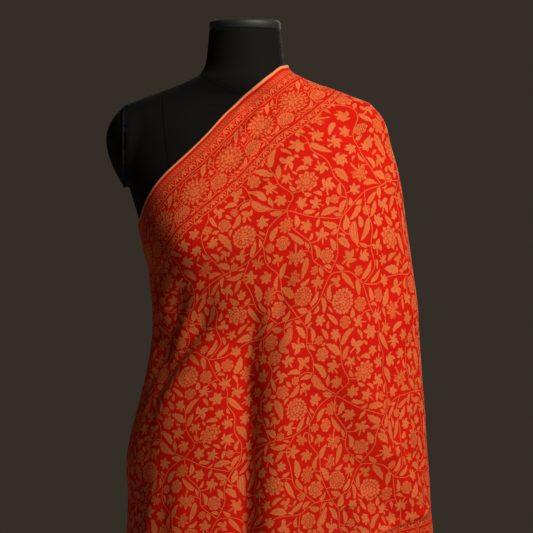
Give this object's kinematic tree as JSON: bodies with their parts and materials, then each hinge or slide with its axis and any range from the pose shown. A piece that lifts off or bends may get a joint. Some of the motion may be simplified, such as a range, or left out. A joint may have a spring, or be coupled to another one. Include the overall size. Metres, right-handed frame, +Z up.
{
  "type": "draped stole with limbless dress form",
  "caption": "Woven stole wrapped over one shoulder of a limbless dress form on a pole stand.",
  "frame": {"origin": "centre of the base's underside, on the floor", "axes": "+Z up, the form faces -Y, the covered left shoulder is towards +X"},
  "size_m": [0.4805, 0.34, 1.5019],
  "materials": {
    "stand": "satin black powder coat",
    "jersey": "black stretch jersey over padding",
    "neck_cap": "matt black cap",
    "brass": "small polished disc",
    "stole": "fine wool twill, bright red with orange-gold woven flowers, leaves and vines"
  },
  "bodies": {
    "root": {"base": "stand", "pole": "stand", "form_body": "jersey", "arm_cap_left": "jersey", "arm_cap_right": "jersey", "neck_cap": "neck_cap", "neck_disc": "brass", "stole_back": "stole", "stole_front": "stole", "stole_wrapped_end": "stole"}
  },
  "joints": []
}
